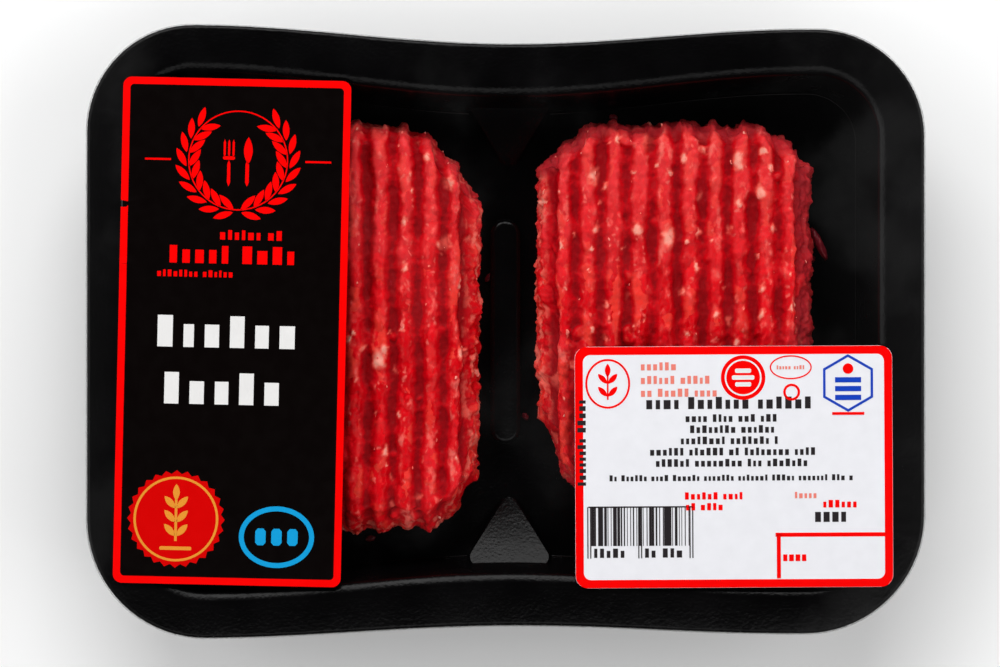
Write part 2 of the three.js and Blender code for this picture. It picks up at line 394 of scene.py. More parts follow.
# %% Black foam
# Pressed foam has a smooth skin with the faint pattern of its closed cells, and it is a little
# shinier where the mould stretched it.
foam, shader, place = finish("black_foam")
cell = node(home(place), "ShaderNodeTexVoronoi", {"Vector": place, "Scale": 1.1})
cloud = noise(place, 14, detail=3)
plug(shader, {
    "Base Color": blend(cloud, (0.0006, 0.0005, 0.0006), (0.0018, 0.0016, 0.0019)),
    "Roughness": between(cloud, 0.3, 0.7, 0.22, 0.28), "Specular IOR Level": 0.12,
})
pores = plus(times(cell, 0.6), noise(place, 0.6))
dents = times(noise(place, 7, detail=2), 3.0)
relief(shader, plus(pores, dents), 0.05)

# %% Tray body
WALL_FOOT = RIM_INSIDE + WALL_LEAN
OUTER_FOOT = WALL_FOOT - FOAM
tray_profile = rounded(
    [
        (OUTER_FOOT + 30, TRAY_BASE, BASE_BOW),
        (OUTER_FOOT + 1.2, TRAY_BASE, BASE_BOW),
        (RIM_INSIDE - FOAM + 0.8, RIM_HEIGHT - FOAM, RIM_BOW),
        (RIM_OUTSIDE, RIM_HEIGHT - FOAM, RIM_BOW),
        (RIM_OUTSIDE, RIM_HEIGHT, RIM_BOW),
        (SLOPE_FOOT - SLOPE_WIDTH, RIM_HEIGHT, INNER_BOW),
        (SLOPE_FOOT, RIM_HEIGHT - SLOPE_DROP, INNER_BOW),
        (WALL_FOOT, FLOOR, INNER_BOW),
        (WALL_FOOT + 20, FLOOR, INNER_BOW),
    ],
    reaches=(2.2, 2.2, 1.1, 1.0, 0.8, 0.9, 0.35),
)
rings = [level(inset, z, bow, TRAY_STEPS) for inset, z, bow in tray_profile]
tray = closed_loft("tray_foam", rings, foam)
print("tray rings", len(rings), "of", len(rings[0]), "points")

# %% Buttresses and rib
ROUND_STEPS = 24


def buttress(side):
    """A block whose sloping three-sided face, with round corners, leans on a long wall."""
    half_angle = math.atan(BUTTRESS_HALF_WIDTH / (BUTTRESS_FOOT - BUTTRESS_REACH))
    tip_middle, foot_middle = BUTTRESS_REACH + BUTTRESS_ROUND, BUTTRESS_FOOT - BUTTRESS_ROUND
    spread = (foot_middle - tip_middle) * math.tan(half_angle)
    corners = []
    for x, y in ((0, tip_middle), (spread, foot_middle), (-spread, foot_middle)):
        for step in range(ROUND_STEPS):
            angle = step / ROUND_STEPS * 2 * math.pi
            for radius, rooted in ((BUTTRESS_ROUND, False), (BUTTRESS_ROUND + 1, True)):
                along, away = turned(radius, 0, angle, (x, y))
                climb = (away - BUTTRESS_REACH) / (BUTTRESS_FOOT - BUTTRESS_REACH)
                z = FLOOR - 1 if rooted else FLOOR + BUTTRESS_RISE * climb
                corners.append((BUTTRESS_MIDDLE + along, side * away, z))
    block = mesh_object("buttress", corners, [], foam)
    shape = bmesh.new()
    shape.from_mesh(block.data)
    bmesh.ops.convex_hull(shape, input=shape.verts)
    bmesh.ops.dissolve_limit(shape, angle_limit=0.01, verts=shape.verts, edges=shape.edges)
    bmesh.ops.recalc_face_normals(shape, faces=shape.faces)
    shape.to_mesh(block.data)
    shape.free()
    return block


def rib():
    """A low bar with round ends and soft edges along the middle of the floor."""
    bevel, sides = 1.5, 16
    straight = (RIB_LENGTH - RIB_WIDTH) / 2
    levels = [(RIB_WIDTH / 2, FLOOR - 1)]
    for step in range(6):
        turn = step / 5 * math.pi / 2
        narrow = bevel * (1 - math.cos(turn))
        levels.append((RIB_WIDTH / 2 - narrow, FLOOR + RIB_HEIGHT - bevel * (1 - math.sin(turn))))
    half_turn = [step / sides * math.pi for step in range(sides + 1)]
    ends = [(1, a) for a in half_turn] + [(-1, a + math.pi) for a in half_turn]
    rings = [[(*turned(r, 0, a, (0, end * straight)), z) for end, a in ends] for r, z in levels]
    return closed_loft("rib", rings, foam)


for extra in (buttress(1), buttress(-1), rib()):
    join = tray.modifiers.new("join", "BOOLEAN")
    join.operation = "UNION"
    join.object = extra
    join.solver = "MANIFOLD"
    settle(tray)
    print("joined", len(tray.data.polygons), "faces")
    bpy.data.objects.remove(extra)
tray.data.shade_smooth()
tray.data.set_sharp_from_angle(angle=math.radians(32))
belongs(tray, "foam", "tray")

# %% [markdown]
# ## The steaks
# Minced beef is pressed in a mould whose ribs leave lengthwise strands with grooves between
# them. Each steak starts as a plain slab: a box's skin, bent to the steak's cut-off corners,
# sloping shoulders and bulging sides. A Geometry Nodes tree then works the surface: strands, the
# lumps of the mince, crumbs, a few pits and soft spots of fat. The tree keeps what it used as
# attributes, so that the material can give each lump its own tone of red in the same place.

# %% Steak sizes
# rims gives how wide the plain edge without strands is, and dull how much darker and duller its red
# is, at the left, right, far and near side.
STEAK_HEIGHT = 19
CLEARANCE = 0.3
SLAB_STEPS = (230, 240, 20)
STRAND_PITCH = 6.41
SHOULDER = 6  # how far in from the edge the top begins to slope
SHOULDER_DROP = 0.28  # as a share of the height
BULGE = 1.2
TUCK = 1.0  # how far the sides are drawn in at their foot
STEAKS = {
    "steak_left": {
        "middle": (-42, 1.2), "half": (34.8, 51.5), "first": 3.9, "rims": (3.5, 2.4, 2, 2.5),
        "dull": (0.8, 0.1, 0.5, 0.2),
        "cuts": ((16, 13), (20, 18.5), (13, 15.5), (15, 14)), "seed": 1,
    },
    "steak_right": {
        "middle": (43.1, 1.2), "half": (34.4, 51.8), "first": -2.96, "rims": (1.2, 4.5, 4.5, 3),
        "dull": (0.1, 1.0, 0.9, 0.5),
        "cuts": ((16, 12), (16, 11), (15, 14), (18, 32)), "seed": 2,
    },
}


def wobble(t, seed):
    """A steady, uneven wave between about -1 and 1, different for each seed."""
    phase = 12.9898 * seed
    waves = 0.5 * np.sin(t + phase) + 0.3 * np.sin(2.3 * t + 2.1 * phase)
    return waves + 0.2 * np.sin(4.9 * t + 3.7 * phase)


def reach(x, end, steak):
    """How far the steak reaches along y at x, with its corners cut off."""
    left, right = (0, 1) if end > 0 else (3, 2)
    across = np.where(x < 0, steak["cuts"][left][0], steak["cuts"][right][0])
    along = np.where(x < 0, steak["cuts"][left][1], steak["cuts"][right][1])
    share = np.clip((np.abs(x) - steak["half"][0] + across) / across, 0, 1)
    cut = 1 - (1 - share ** 1.35) ** (1 / 1.35)
    uneven = 0.9 * wobble(x / 3.2, steak["seed"] + end)
    return end * (steak["half"][1] - along * cut + uneven)


# %% A box's skin bent into a slab
def box_skin(across, along, up):
    """A box's top and four sides as integer points and outward quads, and its bottom's loop."""
    index, points, faces = {}, [], []

    def at(*corner):
        if corner not in index:
            index[corner] = len(points)
            points.append(corner)
        return index[corner]

    def side(rows, columns, place):
        for i in range(rows):
            for j in range(columns):
                steps = ((i, j), (i + 1, j), (i + 1, j + 1), (i, j + 1))
                faces.append([at(*place(a, b)) for a, b in steps])

    side(across, along, lambda a, b: (a, b, up))
    side(across, up, lambda a, b: (a, 0, b))
    side(up, across, lambda a, b: (b, along, a))
    side(up, along, lambda a, b: (0, b, a))
    side(along, up, lambda a, b: (across, a, b))
    low = [(a, 0, 0) for a in range(across)] + [(across, b, 0) for b in range(along)]
    low += [(across - a, along, 0) for a in range(across)]
    low += [(0, along - b, 0) for b in range(along)]
    faces.append([at(*corner) for corner in low][::-1])
    return np.array(points, float), faces


def slab(steak):
    """A plain steak-shaped slab. Each point also gets the share of the plain edge that it is in
    (0 inside, 1 at the edge), how dull that is and how free it is to move (0 at the bottom)."""
    lattice, faces = box_skin(*SLAB_STEPS)
    u, v, w = (2 * lattice[:, k] / SLAB_STEPS[k] - 1 for k in range(3))
    half = steak["half"][0]
    x = half * (1.1 * u - 0.1 * u ** 3)
    near, far = reach(x, -1, steak), reach(x, 1, steak)
    y = near + (far - near) * (v + 1) / 2
    away = np.stack([half + x, half - x, far - y, y - near])
    edge = away.min(0)
    by_side = np.clip(1.15 - away / np.array(steak["rims"])[:, None], 0, 1)
    plain, dull = by_side.max(0), (by_side * np.array(steak["dull"])[:, None]).max(0)
    shoulder = (1 - np.clip(edge / SHOULDER, 0, 1)) ** 2
    rise = (w + 1) / 2
    z = FLOOR + CLEARANCE / 2 + STEAK_HEIGHT * (1 - SHOULDER_DROP * shoulder) * rise
    slope = (reach(x + 0.01, 1, steak) - far) / 0.01 * (v > 0)
    slope = slope + (reach(x + 0.01, -1, steak) - near) / 0.01 * (v <= 0)
    ends = np.abs(v) > 0.999
    out_x = np.where(ends, -slope * np.sign(v), np.sign(u))
    out_y = np.where(ends, np.sign(v), 0)
    length = np.maximum(np.hypot(out_x, out_y), 1e-9)
    bulge = (BULGE * np.sin(math.pi * rise) - TUCK * (1 - rise)) * (edge < 1e-6)
    x = x * (1 + 0.014 * wobble(y / 9, steak["seed"]))
    x = x + bulge * out_x / length + steak["middle"][0]
    y = y + bulge * out_y / length + steak["middle"][1]
    return np.stack([x, y, z], 1), faces, plain, dull, np.clip(rise / 0.3, 0, 1)


# %% Raw minced beef
# Each lump is lean or streaked with fat, so each has its own red. Down the flanks and into the grooves
# the red is painted darker, to the darkest, bluish red in the grooves: painted shade where little
# light gets in, with painted bluish glints there. The plain edge is a darker, duller red on some
# sides.
LUMP = (3.2, 6.0, 3.2)
GRAIN = (1.5, 2.3, 1.5)


def cells(place, size, pick, scale, detail, sway, dimensions="3D"):
    """Cells of about the given size with wavy borders: how far each point is from its cell's
    middle, and three random numbers for the cell. pick is two numbers whose product chooses the
    cells, and scale, detail and sway shape the waves."""
    tree = home(place)
    away = node(tree, "ShaderNodeMath", dict(enumerate(pick)), operation="MULTIPLY")
    warp = {"Vector": place, "Scale": scale, "Detail": detail}
    warp = node(tree, "ShaderNodeTexNoise", warp, output="Color")
    for step in (triple(away, 0, 0), stretched(warp, sway)):
        place = vectors("ADD", place, step)
    inputs = {"Vector": stretched(place, tuple(1 / s for s in size)), "Scale": 1.0}
    settings = {"output": None, "voronoi_dimensions": dimensions}
    made = node(tree, "ShaderNodeTexVoronoi", inputs, **settings)
    return made["Distance"], axes(made["Color"])


def lumps(place, size, seed):
    """Cells of mince: how far each point is from its lump's middle, and the lump's numbers."""
    return cells(place, size, (seed, 211.0), 0.35, 2.0, (4, 4, 4))


def left_by_tree(tree, name, output="Fac"):
    """An attribute that the surface tree stored on the mesh."""
    return node(tree, "ShaderNodeAttribute", output=output, attribute_name=name)


def meat_finish(seed):
    """Raw mince that reads the attributes its surface tree leaves."""
    material, shader, _ = finish(f"minced_beef_{seed}")
    tree = material.node_tree
    rest = left_by_tree(tree, "rest", "Vector")
    wave, plain, dulled, fatty = (left_by_tree(tree, n) for n in ("wave", "plain", "dull", "fat"))
    number = float(seed)
    tone = lumps(rest, LUMP, number)[1]
    near, own = lumps(rest, GRAIN, number + 3)
    grain = times(between(own[0], 0.7, 0.8, 0, 0.6), between(near, 0.1, 0.45, 1, 0))
    cloud = noise(rest, 15, detail=2, seed=number)
    fibre = noise(stretched(rest, (1, 0.4, 1)), 0.9, detail=4, roughness=0.6)
    marble = noise(stretched(rest, (1, 0.6, 1)), 2.4, detail=4, seed=number)
    rich = plus(marble, about_zero(rest, 17, 0.5, seed=number))
    y = axes(rest)[1]
    # The streaks are fat, but they grow stronger towards the far end, and that growth is painted
    # light, like the wash below.
    streaks = between(marble, 0.50, 0.60, 0, between(y, -30, 30, 0.35, 0.6))
    lean = blend(tone[0], (0.54, 0, 0.003), (0.76, 0.004, 0.010))
    for share, over in (
        (between(cloud, 0.50, 0.62, 0, 0.5), (0.80, 0.024, 0.032)),
        (between(tone[1], 0.72, 0.80, 0, 0.6), (0.86, 0.058, 0.036)),
        (streaks, (0.84, 0.046, 0.044)),
        # A painted reflection: a pinker, lighter wash over the far half of the steaks stands for the
        # film's veil there.
        (between(y, 0, 50, 0, 0.45), (0.84, 0.060, 0.064)),
        (between(rich, 0.57, 0.70, 0, 0.7), (0.90, 0.16, 0.13)),
        (grain, (0.90, 0.16, 0.13)),
    ):
        lean = blend(share, lean, over)
    # Painted shade: the flanks are darker than the crests, and the groove floors darker still.
    flank = blend(fibre, (0.44, 0, 0.003), (0.60, 0, 0.006))
    deep = blend(cloud, (0.22, 0, 0.001), (0.34, 0, 0.005))
    # The bluish touches in the grooves are painted glints.
    deep = blend(between(fibre, 0.62, 0.8, 0, 0.35), deep, (0.42, 0.03, 0.06))
    dull = blend(fibre, (0.26, 0.002, 0.008), (0.54, 0.035, 0.045))
    patchy = plus(dulled, minus(cloud, 0.5))
    edge = between(marble, 0.50, 0.62, 0, 0.7)
    edge = sums("MULTIPLY", minus(plain, dulled), edge, clamp=True)
    # The colour climbs from the painted groove shade up the flanks to the lean crests, following the
    # relief.
    colour = blend(between(wave, 0.08, 0.45), deep, flank)
    for share, over in (
        (between(wave, 0.42, 0.95), lean),
        (between(patchy, 0.15, 0.9, 0, 0.75), dull),
        (edge, (0.88, 0.18, 0.13)),
        (between(fatty, 0.0, 0.5, 0, 0.9), (0.88, 0.12, 0.09)),
        (between(fatty, 0.35, 1.0, 0, 0.75), (0.98, 0.44, 0.34)),
    ):
        colour = blend(share, colour, over)
    rough = plus(between(fibre, 0.3, 0.7, 0.26, 0.38), between(wave, 0.3, 0.7, 0.22, 0.0))
    plug(shader, {
        "Base Color": colour, "Roughness": rough, "Specular IOR Level": 0.07,
        "Subsurface Weight": 0.2, "Subsurface Radius": (0.0010, 0.0003, 0.0002),
        "Subsurface Scale": 1.0,
    })
    relief(shader, fibre, 0.10)
    return material


# %% The mince tree
def new_tree(name, sockets):
    """A Geometry Nodes tree with named inputs: {name: (type, default)}."""
    tree = bpy.data.node_groups.new(name, "GeometryNodeTree")
    tree.interface.new_socket("Geometry", in_out="INPUT", socket_type="NodeSocketGeometry")
    tree.interface.new_socket("Geometry", in_out="OUTPUT", socket_type="NodeSocketGeometry")
    for label, (kind, default) in sockets.items():
        socket = tree.interface.new_socket(label, in_out="INPUT", socket_type=f"NodeSocket{kind}")
        if default is not None:
            socket.default_value = default
    return tree, node(tree, "NodeGroupInput", output=None)


def close_tree(geometry, material):
    """Ends a tree in real mesh with a material."""
    tree = home(geometry)
    real = node(tree, "GeometryNodeRealizeInstances", {0: geometry})
    painted = node(tree, "GeometryNodeSetMaterial", {"Geometry": real, "Material": material})
    node(tree, "NodeGroupOutput", {0: painted}, output=None)


def run_tree(made, tree, **values):
    """Applies a tree to an object, with its inputs set by their sockets' identifiers."""
    modifier = made.modifiers.new("tree", "NODES")
    modifier.node_group = tree
    for item in tree.interface.items_tree:
        key = item.name.replace(" ", "_").lower()
        if item.in_out == "INPUT" and key in values:
            modifier[item.identifier] = values[key]
    return settle(made)


def keep(geometry, name, value, kind="FLOAT", domain="POINT"):
    """Stores a named attribute."""
    inputs = {"Geometry": geometry, "Name": name, "Value": value}
    kinds = {"data_type": kind, "domain": domain}
    return node(home(geometry), "GeometryNodeStoreNamedAttribute", inputs, **kinds)


def stored(tree, name):
    """A named attribute's value."""
    return node(tree, "GeometryNodeInputNamedAttribute", {"Name": name})


def random_value(tree, low, high, stream):
    """A random number for each point, from its own seeded stream."""
    return node(tree, "FunctionNodeRandomValue", {2: low, 3: high, 8: stream}, output=1)


def in_mm(tree):
    """Where each point is, in mm."""
    return vectors("SCALE", node(tree, "GeometryNodeInputPosition"), 1000)


def shifted(geometry, offset):
    """Geometry with its points moved."""
    inputs = {"Geometry": geometry, "Offset": offset}
    return node(home(geometry), "GeometryNodeSetPosition", inputs)


def spots(place, size, seed, share):
    """Soft oval spots from 0 to 1, in a share of the cells of the given size."""
    distance, draw = cells(place, size, (seed, 137.0), 0.5, 3.0, (3, 4, 3), "2D")
    edge = between(draw[0], 0.2, 1.0, 0.22, 0.48)
    chosen = between(draw[2], 1 - share, 1.03 - share)
    return times(between(distance, times(edge, 0.1), edge, 1.0, 0.0), chosen)


mince, given = new_tree("mince_surface", {
    "Pitch": ("Float", 6.0), "First": ("Float", 0.0), "Groove": ("Float", 1.9),
    "Waver": ("Float", 1.8), "Lump Height": ("Float", 1.1), "Seed": ("Float", 1.0),
    "Material": ("Material", None),
})
seed = given["Seed"]
place = in_mm(mince)
sway = times(about_zero(place, 24, 1.0, seed=seed), given["Waver"])
along_pitch = minus(plus(axes(place)[0], sway), given["First"])
turn = times(sums("DIVIDE", along_pitch, given["Pitch"]), 2 * math.pi)
ragged = plus(about_zero(place, 2.4, 2.2, detail=4, roughness=0.6, seed=seed),
              about_zero(place, 8, 2.2, detail=0, seed=seed))
strand = between(plus(sums("COSINE", turn), ragged), -1.5, 1.1)
bridged = between(noise(place, 6.5, detail=1, seed=seed), 0.62, 0.74, 0, 0.9)
plain = stored(mince, "plain")
crest = sums("MAXIMUM", sums("MAXIMUM", strand, bridged), times(plain, 0.6))
fresh = times(minus(plain, stored(mince, "dull")), 0.8)
wave = sums("MAXIMUM", sums("MAXIMUM", strand, times(bridged, 0.8)), fresh)
fat_here = sums("MAXIMUM", spots(place, (6.0, 9.0, 6.0), seed, 0.18),
                spots(place, (2.8, 4.2, 2.8), plus(seed, 9.0), 0.14))
fat_here = times(fat_here, between(wave, 0.2, 0.6, 0.3, 1.0))
crumbs = about_zero(place, 1.7, 1.0, detail=3, roughness=0.6, seed=seed)
depth = times(minus(crest, 1.0), given["Groove"])
SUNK_MM = -0.3  # keeps the worked surface within the slab that the CAD gives
for part in (
    times(minus(0.45, lumps(place, LUMP, seed)[0]), given["Lump Height"]),
    times(crumbs, plus(times(crest, 0.7), 0.6)),
    about_zero(place, 9, 1.8, detail=1, seed=seed),
    times(plain, about_zero(place, 3.4, 2.4, seed=seed)),
    times(plain, about_zero(place, 2.0, 2.2, detail=2, seed=seed)),
    times(fat_here, 0.2),
    SUNK_MM,
):
    depth = plus(depth, part)
depth = times(times(depth, stored(mince, "free")), MM)
step = vectors("SCALE", node(mince, "GeometryNodeInputNormal"), depth)
worked = keep(given["Geometry"], "rest", place, kind="FLOAT_VECTOR")
for label, value in (("crest", crest), ("wave", wave), ("fat", fat_here)):
    worked = keep(worked, label, value)
close_tree(shifted(worked, step), given["Material"])

# %% [markdown]
# ## Fat in the mince
# Fat shows as pale spots that are longer than they are wide. The large soft ones are painted
# where the surface tree swelled the meat a little. Small lumpy pebbles, laid along the strands
# and half sunk, make the crumbs of fat in those spots and the flecks between them.

# %% Fat finish
fat, shader, place = finish("beef_fat")
cloud = noise(place, 1.4, detail=2)
pale = blend(left_by_tree(fat.node_tree, "shade"), (0.84, 0.12, 0.10), (0.94, 0.32, 0.25))
plug(shader, {
    "Base Color": blend(between(cloud, 0.42, 0.7, 0, 0.6), pale, (0.88, 0.16, 0.11)),
    "Roughness": 0.42, "Specular IOR Level": 0.2, "Subsurface Weight": 0.15,
    "Subsurface Radius": (0.0010, 0.0004, 0.0003), "Subsurface Scale": 1.0,
})
relief(shader, noise(place, 0.5), 0.08)

# %% The speck tree
specks, given = new_tree("fat_specks", {
    "Density": ("Float", 15000.0), "Apart": ("Float", 0.002), "Size": ("Float", 0.0008),
    "Sunk": ("Float", 0.0002), "In Fat": ("Float", 0.0), "Seed": ("Int", 1),
    "Material": ("Material", None),
})
t = specks  # a short name for the tree in this cell
facing_up = sums("GREATER_THAN", axes(node(t, "GeometryNodeInputNormal"))[2], 0.15)
on_crest = between(stored(t, "crest"), 0.1, 0.6, 0.1, 1.0)
in_spot = between(stored(t, "fat"), 0.45, 0.85)
both = plus(times(on_crest, minus(1.0, given["In Fat"])), times(in_spot, given["In Fat"]))
points = node(t, "GeometryNodeDistributePointsOnFaces", {
    "Mesh": given["Geometry"], "Distance Min": given["Apart"], "Density Max": given["Density"],
    "Density Factor": times(facing_up, both), "Seed": given["Seed"],
}, distribute_method="POISSON")
pebble = node(t, "GeometryNodeMeshIcoSphere", {"Radius": 1.0, "Subdivisions": 2})
lay = triple(random_value(t, -0.35, 0.35, 1), random_value(t, -0.3, 0.3, 2),
             random_value(t, -0.45, 0.45, 3))
width = random_value(t, 0.5, 1.0, 4)
size = triple(width, times(width, random_value(t, 1.2, 2.4, 5)), times(width, 0.38))
placed = node(t, "GeometryNodeInstanceOnPoints", {
    "Points": points, "Instance": pebble, "Rotation": lay,
    "Scale": vectors("SCALE", size, given["Size"]),
})
placed = keep(placed, "shade", random_value(t, 0.0, 1.0, 6), domain="INSTANCE")
real = node(t, "GeometryNodeRealizeInstances", {0: placed})
ragged = {"Vector": in_mm(t), "Scale": 0.9, "Detail": 1.0}
ragged = node(t, "ShaderNodeTexNoise", ragged, output="Color")
ragged = vectors("SUBTRACT", ragged, (0.5, 0.5, 0.5))
ragged = vectors("SCALE", ragged, given["Size"])
drop = triple(0.0, 0.0, times(given["Sunk"], -1.0))
close_tree(shifted(real, vectors("ADD", ragged, drop)), given["Material"])


# %% Both steaks
def with_numbers(mesh, **columns):
    """Stores one number a point under each name."""
    for label, values in columns.items():
        mesh.attributes.new(label, "FLOAT", "POINT").data.foreach_set("value", values)


for name, steak in STEAKS.items():
    points, faces, plain, dull, free = slab(steak)
    meat = meat_finish(steak["seed"])
    made = mesh_object(f"{name}_mince", points, faces, meat)
    with_numbers(made.data, plain=plain, dull=dull, free=free)
    run_tree(made, mince, pitch=STRAND_PITCH, seed=float(steak["seed"]), material=meat,
             first=float(steak["middle"][0] + steak["first"]))
    made.data.shade_smooth()
    for label, in_fat, density, apart, size, seed in (
        ("fat", 1.0, 400000.0, 0.0014, 0.00055, 11), ("flecks", 0.0, 11000.0, 0.0070, 0.00036, 31),
    ):
        bits = bpy.data.objects.new(f"{name}_{label}", made.data.copy())
        bpy.context.scene.collection.objects.link(bits)
        run_tree(bits, specks, density=density, apart=apart, size=size, sunk=size * 0.40,
                 in_fat=in_fat, seed=seed + steak["seed"], material=fat)
        bits.data.shade_smooth()
        belongs(bits, "meat")
    belongs(made, "meat", name)

# %% [markdown]
# ## Crumbs of mince
# A few crumbs have come off and lie at the steaks' feet, and one thin sliver leans against the
# tray's wall beside the right steak. Each is a small ball pulled long and made ragged.

# %% Loose mince
loose, shader, place = finish("loose_mince")
fibre = noise(stretched(place, (1, 0.5, 1)), 0.9, detail=3)
# The crumbs are a dark purplish red, partly the meat's own colour and partly painted shade of the gaps
# at the steaks' feet and by the wall.
dark = blend(fibre, (0.04, 0.001, 0.004), (0.16, 0.005, 0.012))
plug(shader, {
    "Base Color": blend(between(fibre, 0.58, 0.7, 0, 0.4), dark, (0.30, 0.05, 0.05)),
    "Roughness": 0.34, "Specular IOR Level": 0.2,
})
relief(shader, fibre, 0.15)


def crumb(middle, size, turn, seed):
    """A ragged ball: points and faces. size is half of its length, width and height."""
    ball = bmesh.new()
    bmesh.ops.create_icosphere(ball, subdivisions=3, radius=1)
    points = []
    for vertex in ball.verts:
        x, y, z = vertex.co
        grow = 1 + 0.22 * wobble(5 * x + 4 * y + 7 * z, seed) + 0.1 * wobble(11 * y - 9 * z, seed)
        along, across = size[0] * grow * x, size[1] * grow * y
        points.append((*turned(along, across, turn, middle), middle[2] + size[2] * grow * z))
    faces = [[v.index for v in face.verts] for face in ball.faces]
    ball.free()
    return points, faces


ON_FLOOR = FLOOR + 0.5
CRUMBS = [
    ((80.2, 22.5, 13.5), (4.2, 1.0, 1.2), -1.15), ((78.6, 18.6, 9.5), (1.1, 0.9, 0.8), 0.3),
    ((-4.2, 14, ON_FLOOR), (1.3, 0.8, 0.6), 0.8), ((5.2, -22, ON_FLOOR), (1.0, 0.7, 0.6), 2.2),
    ((80.5, -12, ON_FLOOR), (1.4, 0.9, 0.7), 1.1), ((-80.5, 8, ON_FLOOR), (1.2, 0.9, 0.6), 0.5),
    ((-35, -53.5, ON_FLOOR), (1.3, 0.8, 0.6), 0.2), ((28, 55.4, ON_FLOOR), (1.1, 0.8, 0.6), 2.8),
]
bits = [crumb(middle, size, turn, k + 1) for k, (middle, size, turn) in enumerate(CRUMBS)]
belongs(mesh_object("loose_crumbs", *gathered(bits), loose), "meat")

# %% [markdown]
# ## The film
# The clear film is a closed bag of its own: taut and almost flat on top, rounded over the rim,
# straight down the skirt to the base, and closed under it. It is far thinner than a render can
# show, so the bag is a single skin. Small waves run across the rim's edge, where the film is
# gathered, and pleats deepen towards the base at the corners.

# %% Clear film
# Light passes straight through film and only its gloss shows. A clear shader is mixed with a
# glossy one, by the usual rule for how a surface's mirror share grows towards a grazing view.
# Damp has dimmed the gloss in cloudy places, which show as a faint grey veil.
LEAST_HAZE = 0.10
LEAST_MIRROR = 0.013  # the share of light that it mirrors when seen from straight above
film, shader, place = finish("clear_film")
tree = film.node_tree
tree.nodes.remove(shader)
haze = between(noise(place, 34, detail=4, seed=2.0), 0.46, 0.66, 0.12, 0.36)
x, y, _ = axes(place)
for at, low, high, more in ((x, 60, 100, 0.22), (x, -80, -104, 0.18), (y, -48, -64, -0.16)):
    haze = plus(haze, between(at, low, high, 0, more))
haze = sums("MAXIMUM", haze, LEAST_HAZE)
bump = {"Height": noise(place, 5, detail=2), "Distance": 0.05 * MM}
bump = node(tree, "ShaderNodeBump", bump)
gloss = {"Color": (0.9, 0.9, 0.9, 1), "Roughness": haze, "Normal": bump}
gloss = node(tree, "ShaderNodeBsdfGlossy", gloss)
clear = node(tree, "ShaderNodeBsdfTransparent", {"Color": (0.985, 0.985, 0.985, 1)})
facing = node(tree, "ShaderNodeLayerWeight", {"Blend": 0.5, "Normal": bump}, output="Facing")
grazing = times(sums("POWER", facing, 5.0), 0.93)
share = sums("ADD", grazing, LEAST_MIRROR, clamp=True)
mixed = node(tree, "ShaderNodeMixShader", {0: share, 1: clear, 2: gloss})
plug(tree.nodes["Material Output"], {"Surface": mixed})

# %% Film bag
FILM_TOP = 30.35
FILM_UNDER = 0.4
FILM_OUTSIDE = 0.05
FILM_STEPS = (60, 150, 90)
film_profile = rounded(
    [
        (OUTER_FOOT + 6, FILM_UNDER, BASE_BOW),
        (OUTER_FOOT + 0.9, FILM_UNDER, BASE_BOW),
        (FILM_OUTSIDE, RIM_HEIGHT - FOAM + 0.4, RIM_BOW),
        (FILM_OUTSIDE, FILM_TOP, RIM_BOW),
        (RIM_INSIDE, FILM_TOP, RIM_BOW),
    ],
    reaches=(1.1, 1.1, 0.6), steps=6,
)
film_profile = film_profile[:8] + [
    tuple(np.array(film_profile[7]) * (1 - s) + np.array(film_profile[8]) * s)
    for s in np.linspace(0.06, 0.94, 14)
] + film_profile[8:]
CAP_STEPS = 26
rings = [level(inset, z, bow, FILM_STEPS) for inset, z, bow in film_profile]
count = len(rings[0])
bottom = [rings[0] * (s, s, 1) for s in np.linspace(0.02, 1, CAP_STEPS)[:-1]]
top = [rings[-1] * (s, s, 1) for s in np.linspace(1, 0.02, CAP_STEPS)[1:]]
rings = np.array(bottom + rings + top)

# %% Waves over the rim and pleats at the corners
RIM_WAVES = 0.10
PLEAT_DEPTH = 0.9
SKIRT_WAVES = 0.12
TOP_WAVES = 0.12

around = np.linspace(0, 2 * math.pi, count, endpoint=False)
ahead = np.roll(rings, -1, axis=1) - np.roll(rings, 1, axis=1)
out = np.stack([ahead[..., 1], -ahead[..., 0]], -1)
out = out / np.linalg.norm(out, axis=-1, keepdims=True)
x, y, z = rings[..., 0], rings[..., 1], rings[..., 2]
corner = np.clip((np.abs(x) - 62) / 20, 0, 1) * np.clip((np.abs(y) - 40) / 15, 0, 1)
on_rim = np.exp(-(((z - FILM_TOP + 1.6) / 2.2) ** 2)) * (np.hypot(x / 105, y / 76) > 0.86)
down_skirt = np.clip((RIM_HEIGHT - FOAM - z) / 24, 0, 1) * (z > FILM_UNDER + 0.05)
fine = wobble(around * 95, 3) * wobble(around * 31, 4)
pleat = 0.5 + 0.5 * np.sin(around * 130 + 2 * wobble(around * 20, 5))
push = RIM_WAVES * fine * on_rim - corner * down_skirt * PLEAT_DEPTH * pleat ** 2
push = push - SKIRT_WAVES * down_skirt * (1 + wobble(around * 60 + z / 12, 6))
rings[..., 0] += push * out[..., 0]
rings[..., 1] += push * out[..., 1]
rings[..., 2] -= RIM_WAVES * (1 + fine) * on_rim * (z > FILM_TOP - 1)
inner = z > FILM_TOP - 0.01
rings[..., 2] -= inner * TOP_WAVES * (1 + np.sin(x / 17 + 1) * np.sin(y / 13))
belongs(closed_loft("film_wrap", rings, film), "film", "film")

# %% Folds under the base
# The film's ends are folded in under the base as two flaps, pleated towards their narrow edge,
# and its long edges overlap along the middle.
FLAP_LENGTH = 46
FLAP_STEPS = (40, 90)
OVERLAP = (150, 26)
FOLD = 0.03  # how thick the folded film is


def sheet_grid(rows, columns, place):
    """An open grid of points given by place(s, t), with s and t from 0 to 1."""
    points = [place(i / rows, j / columns) for i in range(rows + 1) for j in range(columns + 1)]
    return points, [face[::-1] for face in grid_faces(rows, columns)]


